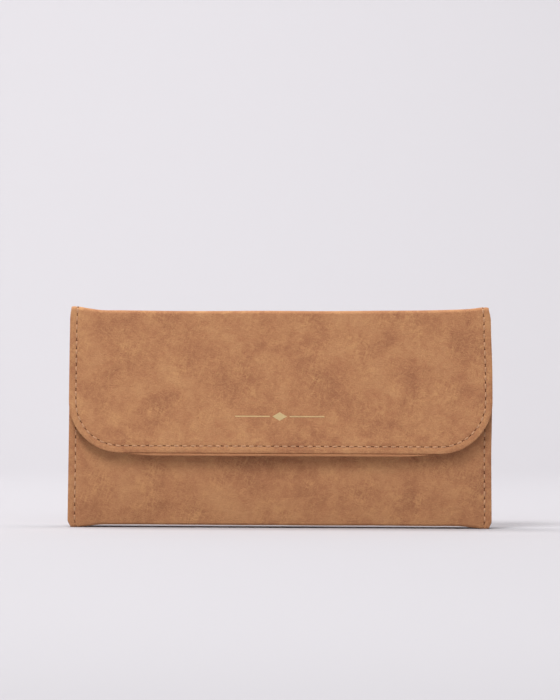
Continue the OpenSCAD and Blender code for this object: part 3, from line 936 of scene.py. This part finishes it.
class WALLET_OT_shell(bpy.types.Operator):
    """Cut and fold the outer leather and its linings"""

    bl_idname = "wallet.shell"
    bl_label = "Shell"

    def execute(self, context):
        form, seams = context.scene.wallet_form, context.scene.wallet_seams
        folds = shell_folds()
        flap, back, front = folds["flap"], folds["back"], folds["front"]
        sewn = seam_relief(seams.inset)

        cut = flap_cut(flap_rows(2.2), seams.inset, seams.flap_inset)
        piece = sheet_piece("flap_hide", cut, flap, finish("nubuck"), 0.0, PLY, relief=sewn)
        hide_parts("flap_outer", "spine_outer")
        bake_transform(piece)

        def hang(x, s):
            return form.facing_drop * (1 - smooth(57, 76, np.abs(x))) * (1 - smooth(0, 14, s))

        def turn_out(x, s, d):
            return 0.8 * smooth(0.0, -0.5, s - hang(x, s))

        facing_gap, lining_gap = 0.04, 0.02
        level, thick = -PLY - facing_gap, LINING - facing_gap
        facing = finish("inner_nubuck")
        piece = sheet_piece("flap_facing_ply", cut, flap, facing, level, thick, hang, turn_out, (230, 40))
        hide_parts("flap_facing", "spine_lining")
        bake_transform(piece)

        cut = rect_cut(across(HALF_W), fold_rows(back, cut_low=False, cut_high=False), False, False)
        piece = sheet_piece("back_hide", cut, back, finish("nubuck"), 0.0, PLY, relief=sewn)
        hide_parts("back_outer", "base_outer")
        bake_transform(piece)
        level, thick, twill = -PLY - lining_gap, LINING - lining_gap, finish("twill")
        piece = sheet_piece("back_lining_ply", cut, back, twill, level, thick, origin=(410, 0))
        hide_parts("back_lining", "base_lining")
        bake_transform(piece)

        cut = rect_cut(across(HALF_W), fold_rows(front, cut_low=False), False, True)
        # The front panel takes the darker nubuck, which paints in shade below the flap.
        hide = finish("front_nubuck_painted_shade")
        piece = sheet_piece("front_hide", cut, front, hide, 0.0, PLY, relief=sewn, origin=(0, 77))
        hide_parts("front_outer")
        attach(piece, "front")
        lining_foot = 1.8
        inner = Fold([(FRONT, lining_foot), (FRONT, MOUTH)], [], front.lift, front.seed, 500.0)
        cut = rect_cut(across(HALF_W), fold_rows(inner), True, True)
        piece = sheet_piece("front_lining_ply", cut, inner, twill, level, thick)
        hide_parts("front_lining")
        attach(piece, "front")
        return {"FINISHED"}


class WALLET_OT_seams(bpy.types.Operator):
    """Sew the shell: single stitches with a needle hole, a dish of painted shade, at each end"""

    bl_idname = "wallet.seams"
    bl_label = "Shell seams"

    def execute(self, context):
        seams = context.scene.wallet_seams
        folds = shell_folds()
        flap, back, front = folds["flap"], folds["back"], folds["front"]
        size = dict(pitch=seams.pitch, length=2.5, width=0.76, height=0.26)
        deep = -0.16
        end_gap = 1.5

        end_parts = 147
        ring = flap_ring(seams.inset, flap_rows(1.0), seams.inset, seams.flap_inset, end_parts)
        x, s = np.array(ring).T
        pieces = seam_pieces("flap_seam", [flap.at(x, s, deep)], **size)
        for piece in pieces:
            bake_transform(piece)
        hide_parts("flap_stitching", "spine_stitching")

        end = back.length - (BACK - BASE_END) - end_gap
        lines = [side_line(back, side, 0.6, end, seams.inset, deep) for side in (-1, 1)]
        pieces = seam_pieces("back_seam", lines, **size)
        for piece in pieces:
            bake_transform(piece)
        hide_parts("back_stitching")

        past_fold, end = 3.6, front.length - end_gap
        lines = [side_line(front, side, past_fold, end, seams.inset, deep) for side in (-1, 1)]
        pieces = seam_pieces("front_seam", lines, **size)
        for piece in pieces:
            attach(piece, "front")
        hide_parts("front_stitching")
        return {"FINISHED"}


def flat_ply(name, node, way, thick, relief=None, seed=0.0, origin=(0, 0)):
    """A leather ply in place of a flat solid. Its face looks to the front if way is -1, else to the back."""
    low, high = span(node)
    ends = [(low[1], low[2]), (low[1], high[2])] if way < 0 else [(high[1], high[2]), (high[1], low[2])]
    fold = Fold(ends, (), 0.08, seed, 600.0 + 90 * seed)
    cut = rect_cut(across(high[0], 3.0), fold_rows(fold, 2.5), True, True)
    ply = sheet_piece(name, cut, fold, finish("inner_nubuck"), 0.0, thick, relief=relief, origin=origin)
    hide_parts(node)
    return ply


def seam_line(x, y, z, way):
    """A seam line as points and up directions, where x, y and z may each be one value or many."""
    points = np.stack(np.broadcast_arrays(x, y, z), -1).astype(float)
    return points, np.tile([0.0, float(way), 0.0], (len(points), 1))


def fine_seam(name, lines, body, node):
    """Rows of small stitches on an inner pocket, in place of a node's thread."""
    fine = bpy.context.scene.wallet_seams.fine_pitch
    pieces = seam_pieces(name, lines, fine, fine / MM - 0.7, 0.45, 0.16, 0.7)
    for piece in pieces:
        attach(piece, body)
    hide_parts(node)


class WALLET_OT_cards(bpy.types.Operator):
    """Lay the card panel, the four stepped card plies and the slip pocket"""

    bl_idname = "wallet.cards"
    bl_label = "Card slots"

    def execute(self, context):
        panel = flat_ply("card_backing", "card_panel", -1, 0.46, origin=(40, 9))
        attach(panel, "back")
        hems = []
        for i in range(1, 5):
            low, high = span(f"card_ply_{i}")
            relief = pocket_relief(high[2] - low[2])
            origin = (31 * i, 17 * i)
            ply = flat_ply(f"card_slot_ply_{i}", f"card_ply_{i}", -1, 0.42, relief, 0.4 * i, origin)
            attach(ply, "back")
            for side in (-1, 1):
                x = steps(side * 2.5, side * (high[0] - 2.5), 1.0)
                hems.append(seam_line(x, low[1] - 0.06, high[2] - 2.4, -1))
        low, high = span("card_stitching")
        z = steps(low[2] + 1, high[2] - 1, 1.0)
        hems.append(seam_line(0.0, high[1] - 0.02, z, -1))
        fine_seam("card_seam", hems, "back", "card_stitching")
        slip = flat_ply("slip_pocket_ply", "slip_pocket", 1, 0.44, origin=(9, 70))
        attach(slip, "front")
        return {"FINISHED"}


def pocket_relief(height):
    """Relief of a card ply: a creased line under its turned top edge, and a hollow at the centre seam."""

    def relief(x, s, d):
        from_top = height - s
        crease = -0.12 * hump(from_top, 1.8, 0.3)
        centre = -0.16 * hump(x, 0, 1.2)
        belly = 0.14 * np.sin(np.pi * np.clip(np.abs(x) / 89, 0, 1)) * smooth(0, 6, d)
        return crease + centre + belly

    return relief


def coin_closing(x):
    """How far the coin pocket's two walls have come together, from 0 to 1 at its sewn ends."""
    return smooth(86, 90.8, np.abs(x))


def coin_face(x, side):
    """Y of the coin pocket's outer face, which comes in until the two walls meet."""
    half = (COIN_HIGH[1] - COIN_LOW[1]) / 2
    closed = COIN_WALL + 0.015
    return ZIP_Y + side * (half + (closed - half) * coin_closing(x))


def coin_pinch(x):
    """Share of its full depth that the coin pocket has at a place."""
    return (coin_face(x, 1) - ZIP_Y) / (COIN_HIGH[1] - ZIP_Y)


def coin_belly(z):
    """How far the coin pocket's walls bulge at a height."""
    return 0.25 * np.sin(np.pi * np.clip((z - COIN_LOW[2]) / (COIN_TOP - COIN_LOW[2]), 0, 1))


class WALLET_OT_coin_pocket(bpy.types.Operator):
    """Fold and sew the coin pocket between the two note compartments"""

    bl_idname = "wallet.coin_pocket"
    bl_label = "Coin pocket"

    def execute(self, context):
        low, high = COIN_LOW, COIN_HIGH
        corners = [(high[1], COIN_TOP), (high[1], low[2]), (low[1], low[2]), (low[1], COIN_TOP)]
        path, _ = rounded_path(corners, [2.4, 2.4], 8)
        reach = run_length(path)
        lip_rows = [0.3, 0.8, reach[-1] - 0.8, reach[-1] - 0.3]
        rows = np.unique(np.concatenate([reach, steps(0, reach[-1], 3.0), lip_rows]))
        xs = across(COIN_HALF, 3.0)
        y, z = np.interp(rows, reach, path[:, 0]), np.interp(rows, reach, path[:, 1])
        y, z = y[:, None], z[:, None]
        way = np.sign(y - ZIP_Y)
        belly = coin_belly(z) * np.cos(xs[None, :] / COIN_HALF * np.pi / 2) * way
        y = ZIP_Y + (y - ZIP_Y) * coin_pinch(xs) + belly
        points = np.stack([*np.broadcast_arrays(xs[None, :], y, z)], -1)
        lip_depth = 0.9
        lips = np.clip(1 - np.minimum(rows, reach[-1] - rows) / lip_depth, 0, 1) ** 2
        turned_in = 0.25 * lips[:, None] * (1 - coin_closing(xs))
        points[..., 1] -= turned_in * np.sign(points[..., 1] - ZIP_Y)
        leather = finish("inner_nubuck")
        pocket = grid_piece("coin_pocket_wall", points, COIN_WALL, leather, (500, 20))
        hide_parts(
            "coin_front_wall", "coin_rear_wall", "coin_base_fold", "coin_left_hem", "coin_right_hem"
        )
        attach(pocket, "coin_pocket")
        seam_z = span("coin_stitching")[0][2] + 0.3
        x = steps(-86, 86, 1.0)
        lines = []
        for side in (-1, 1):
            face = coin_face(x, side) + side * coin_belly(seam_z) - side * 0.06
            lines.append(seam_line(x, face, seam_z, side))
        fine_seam("coin_seam", lines, "coin_pocket", "coin_stitching")
        return {"FINISHED"}


class WALLET_OT_zip(bpy.types.Operator):
    """Set the zip's tapes and teeth into the coin pocket's mouth"""

    bl_idname = "wallet.zip"
    bl_label = "Zip"

    def execute(self, context):
        xs = across(COIN_HALF - 0.4, 3.0)
        level = COIN_TOP - 0.28
        for side, place in ((-1, "front"), (1, "rear")):
            out = np.array([0.3, 0.55, 0.8, 1.15, 1.5, 2.0, 2.5])[::side, None]
            y = ZIP_Y + side * out * coin_pinch(xs)
            z = level + 0.16 * hump(out, 0.9, 0.35)
            points = np.stack([*np.broadcast_arrays(xs[None, :], y, z)], -1)
            tape = grid_piece(f"zip_tape_{place}", points, 0.4, finish("zip_tape"), (0, 50 * side))
            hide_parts(f"zip_{place}_tape")
            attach(tape, "coin_pocket")
        low, high = span("zip_front_teeth")
        level = (low[2] + high[2]) / 2
        up = np.array([[0.0, 0.0, 1.0]] * 2)
        tooth_pitch = 1.7 * MM
        for side, node, start in ((-1, "zip_front_teeth", 0.4), (1, "zip_rear_teeth", 1.25)):
            ends = np.array([[side * low[0], ZIP_Y, level], [side * high[0], ZIP_Y, level]])
            form, line = tooth_form(), (ends, up)
            teeth = row_piece(node + "_row", [line], form, finish("gold"), tooth_pitch, start * MM, 0.0)
            bpy.data.objects.remove(form)
            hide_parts(node)
            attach(teeth, "coin_pocket")
        return {"FINISHED"}


class WALLET_OT_gussets(bpy.types.Operator):
    """Pleat the four side gussets between the panels and the coin pocket"""

    bl_idname = "wallet.gussets"
    bl_label = "Gussets"

    def execute(self, context):
        low, high = span("right_rear_gusset")
        low_z, high_z = low[2], high[2]
        inner_z = steps(low_z + 2, high_z - 2, 2.0)
        z_rows = np.concatenate([[low_z, low_z + 0.5], inner_z, [high_z - 0.5, high_z]])
        thick = 0.36
        # Places of the pleat's folds across the wallet, from the panel's hem to the coin pocket's.
        wing_x, knee_x, pleat_x, coin_x, hem_x = 93.4, 92.4, 82.0, 87.6, 91.6
        for name, panel_y, side_y, bodies in (
            ("rear", BACK - PANEL, 1, ("back", "coin_pocket")),
            ("front", FRONT + PANEL, -1, ("coin_pocket", "front")),
        ):
            hem_y = coin_face(90.0, side_y) + side_y * 0.3
            wing_y = panel_y - side_y * 0.25
            middle = (panel_y + coin_face(80.0, side_y)) / 2
            knee_y = panel_y + (middle - panel_y) * 0.78
            corners = [
                (HALF_W - 0.9, wing_y),
                (wing_x, wing_y),
                (knee_x, knee_y),
                (pleat_x, middle),
                (coin_x, coin_face(coin_x, side_y) + side_y * 0.35),
                (hem_x, coin_face(hem_x, side_y) + side_y * 0.3),
            ]
            path, _ = rounded_path(corners, [0.5, 0.6, 0.35, 0.8], 6)
            reach = run_length(path)
            q = np.unique(np.concatenate([reach, steps(0, reach[-1], 1.0)]))
            px, py = np.interp(q, reach, path[:, 0]), np.interp(q, reach, path[:, 1])
            # From 0 near the panel to 1 at the pleat's inner fold.
            depth = smooth(0, 1, (93 - px) / 11)
            near_coin = smooth(middle, coin_face(coin_x, side_y) + side_y * 0.6, py)
            fall = 3.2 * depth * (1 - near_coin) + (high_z - COIN_TOP + 0.6) * near_coin
            for side, word in ((-1, "left"), (1, "right")):
                points = []
                for z in z_rows:
                    # The pleat is shallow at its foot, where the base holds it.
                    share = 1 - 0.75 * (1 - smooth(low_z, 20, z))
                    x = np.where(px < 92, 92 - (92 - px) * share, px)
                    sway = 0.35 * math.sin(z * 0.11 + side) * depth
                    sink = fall * smooth(50, high_z, z)
                    points.append(np.stack([side * (x + sway), py, z - sink], -1))
                cloth, origin = f"{word}_{name}_gusset_cloth", (700 + 40 * side, 0)
                gusset = grid_piece(cloth, points, thick, finish("twill"), origin)
                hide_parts(f"{word}_{name}_gusset")
                outer, inner = (0, wing_y * MM, 0), (0, hem_y * MM, 0)
                if bodies[0] == "coin_pocket":
                    outer, inner = inner, outer
                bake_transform(gusset)
        return {"FINISHED"}


class WALLET_OT_snap(bpy.types.Operator):
    """Turn the snap's socket and stud"""

    bl_idname = "wallet.snap"
    bl_label = "Snap"

    def execute(self, context):
        low, _ = span("snap_socket")
        face, tip, r = FRONT + 0.1, low[1], 7.0
        profile = [(r - 0.4, face), (r, face - 0.5), (r, tip + 0.7), (r - 0.25, tip + 0.25), (r - 0.8, tip)]
        profile += [(r - 2.2, tip), (r - 2.5, tip + 0.18), (r - 3.4, tip + 0.22), (2.9, tip + 0.05)]
        profile += [(2.6, tip + 0.2), (2.5, tip + 0.5), (2.5, FRONT - 0.4)]
        socket = turned_piece("snap_socket_cup", profile, SNAP_Z, finish("gold"))
        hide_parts("snap_socket")
        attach(socket, "front")
        _, high = span("snap_stud")
        face, tip, r = FLAP + PANEL - 0.1, high[1], 6.5
        plate = face + 0.8
        profile = [(0.9, tip), (1.35, tip - 0.12), (1.6, tip - 0.4), (1.6, plate + 0.2), (1.9, plate + 0.02)]
        profile += [(4.6, plate), (5.0, plate - 0.16), (5.7, plate - 0.16), (6.2, plate - 0.24)]
        profile += [(r, plate - 0.5), (r, face)]
        stud = turned_piece("snap_stud_plate", profile, SNAP_Z, finish("gold"))
        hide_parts("snap_stud")
        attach(stud, "flap")
        return {"FINISHED"}


class WALLET_OT_mark(bpy.types.Operator):
    """Stamp the foil ornament on the flap: a lozenge between two fine bars"""

    bl_idname = "wallet.mark"
    bl_label = "Foil ornament"

    def execute(self, context):
        low, high = span("foil_mark")
        flap = shell_folds()["flap"]
        centre = (low[2] + high[2]) / 2 - FLAP_END
        tall = (high[2] - low[2]) / 2
        wide = 1.7 * tall
        bar_start, bar_half = 4.6, 0.25
        u, v = np.meshgrid(np.linspace(0, 1, 7), np.linspace(0, 1, 7))
        shapes = [(wide * (u + v - 1), tall * (v - u))]
        for first, last in ((-high[0], -bar_start), (bar_start, high[0])):
            bar = first + (last - first) * np.linspace(0, 1, 15)
            shapes.append(np.meshgrid(bar, [-bar_half, 0, bar_half]))
        parts = []
        for x, s in shapes:
            points, _ = flap.at(x, centre + s, 0.045)
            parts.append(grid_piece("foil_part", points, 0.08, finish("foil")))
        leaf = merge_pieces("foil_ornament", parts)
        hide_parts("foil_mark")
        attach(leaf, "flap")
        return {"FINISHED"}


class WALLET_OT_dress(bpy.types.Operator):
    """Give the remaining solids of the frame their finishes"""

    bl_idname = "wallet.dress"
    bl_label = "Solids"

    def execute(self, context):
        finishes = {"gold": "gold", "steel": "steel", "greyboard": "greyboard"}
        slots = {row["node"]: row["material_slot"] for row in frame["record"]["subparts"]}
        for node, solid in frame["nodes"].items():
            if solid.hide_render:
                continue
            material = finish(finishes.get(slots[node], "inner_nubuck"))
            for slot in solid.material_slots:
                slot.material = material
            if not solid.material_slots:
                solid.data.materials.append(material)
        return {"FINISHED"}


class WALLET_OT_stage(bpy.types.Operator):
    """Set up the pale floor, the studio light and the camera"""

    bl_idname = "wallet.stage"
    bl_label = "Stage"

    def execute(self, context):
        scene, stage = context.scene, context.scene.wallet_stage
        scene.view_settings.view_transform = "Standard"
        bend_y, bend_r, half_width, near_y, top_z = 0.9, 0.8, 3.0, -3.0, 3.2
        path = [(near_y, 0.0), (bend_y, 0.0)]
        for a in np.linspace(0, math.pi / 2, 17)[1:]:
            path.append((bend_y + bend_r * math.sin(a), bend_r - bend_r * math.cos(a)))
        path.append((bend_y + bend_r, top_z))
        verts = [(x, y, z) for y, z in path for x in (-half_width, half_width)]
        faces = [(2 * i, 2 * i + 1, 2 * i + 3, 2 * i + 2) for i in range(len(path) - 1)]
        mesh = bpy.data.meshes.new("backdrop")
        mesh.from_pydata(verts, [], faces)
        mesh.polygons.foreach_set("use_smooth", [True] * len(mesh.polygons))
        material, tree, shader = new_finish("backdrop_paper")
        feed(tree, shader, {"Base Color": (0.550, 0.532, 0.556, 1)})
        feed(tree, shader, {"Roughness": 0.9, "Specular IOR Level": 0.1})
        mesh.materials.append(material)
        add_object("backdrop", mesh)

        def area_light(name, place, target, size, power):
            lamp = bpy.data.lights.new(name, "AREA")
            lamp.shape = "RECTANGLE"
            lamp.size, lamp.size_y = size
            lamp.energy = power
            holder = add_object(name, lamp)
            holder.location = place
            way = Vector(target) - Vector(place)
            holder.rotation_euler = way.to_track_quat("-Z", "Y").to_euler()

        area_light("key_light", (-0.42, -0.84, 1.40), (0, 0, 0.05), (0.55, 0.55), stage.key)
        area_light("front_light", (-1.1, -1.9, 0.9), (0, 0, 0.05), (1.2, 1.0), stage.front)
        area_light("floor_light", (0.1, -1.1, 0.9), (0.1, -1.0, 0), (1.0, 0.5), stage.floor)
        area_light("wall_light", (-0.3, 0.34, 1.75), (0, 1.65, 0.55), (2.0, 0.9), stage.wall)
        world = bpy.data.worlds.new("studio")
        world.use_nodes = True
        background = world.node_tree.nodes["Background"]
        background.inputs["Color"].default_value = (0.97, 0.98, 1.0, 1)
        background.inputs["Strength"].default_value = stage.sky
        scene.world = world
        lens = bpy.data.cameras.new("camera")
        lens.sensor_width, lens.sensor_fit = 36.0, "AUTO"
        lens.lens = stage.lens
        lens.clip_start, lens.clip_end = 0.05, 20.0
        camera = add_object("camera", lens)
        camera.location = (0.0, FLAP * MM - stage.distance, stage.eye)
        camera.rotation_euler = (math.radians(90 + stage.pitch), math.radians(stage.roll), 0)
        scene.camera = camera
        return {"FINISHED"}


class WALLET_PT_panel(bpy.types.Panel):
    """Lists the wallet's pieces and settings"""

    bl_idname = "WALLET_PT_panel"
    bl_label = "Long Flap Wallet"
    bl_space_type = "VIEW_3D"
    bl_region_type = "UI"
    bl_category = "Wallet"

    def draw(self, context):
        layout = self.layout
        for group in ("wallet_form", "wallet_seams", "wallet_colours", "wallet_stage"):
            settings = getattr(context.scene, group)
            for key in settings.__annotations__:
                layout.prop(settings, key)
        for kind in OPERATORS:
            layout.operator(kind.bl_idname)


SETTINGS = {
    "wallet_form": WalletForm,
    "wallet_seams": WalletSeams,
    "wallet_colours": WalletColours,
    "wallet_stage": WalletStage,
}
OPERATORS = (
    WALLET_OT_shell,
    WALLET_OT_seams,
    WALLET_OT_cards,
    WALLET_OT_coin_pocket,
    WALLET_OT_zip,
    WALLET_OT_gussets,
    WALLET_OT_snap,
    WALLET_OT_mark,
    WALLET_OT_dress,
    WALLET_OT_stage,
)


def register():
    for kind in (*SETTINGS.values(), *OPERATORS, WALLET_PT_panel):
        bpy.utils.register_class(kind)
    for name, kind in SETTINGS.items():
        setattr(bpy.types.Scene, name, bpy.props.PointerProperty(type=kind))


def unregister():
    for name in SETTINGS:
        delattr(bpy.types.Scene, name)
    for kind in reversed((*SETTINGS.values(), *OPERATORS, WALLET_PT_panel)):
        bpy.utils.unregister_class(kind)


def main():
    register()
    bpy.ops.wallet.shell()
    bpy.ops.wallet.seams()
    bpy.ops.wallet.cards()
    bpy.ops.wallet.coin_pocket()
    bpy.ops.wallet.zip()
    bpy.ops.wallet.gussets()
    bpy.ops.wallet.snap()
    bpy.ops.wallet.mark()
    bpy.ops.wallet.dress()
    bpy.ops.wallet.stage()
    bpy.context.view_layer.update()


if __name__ == "__main__":
    main()
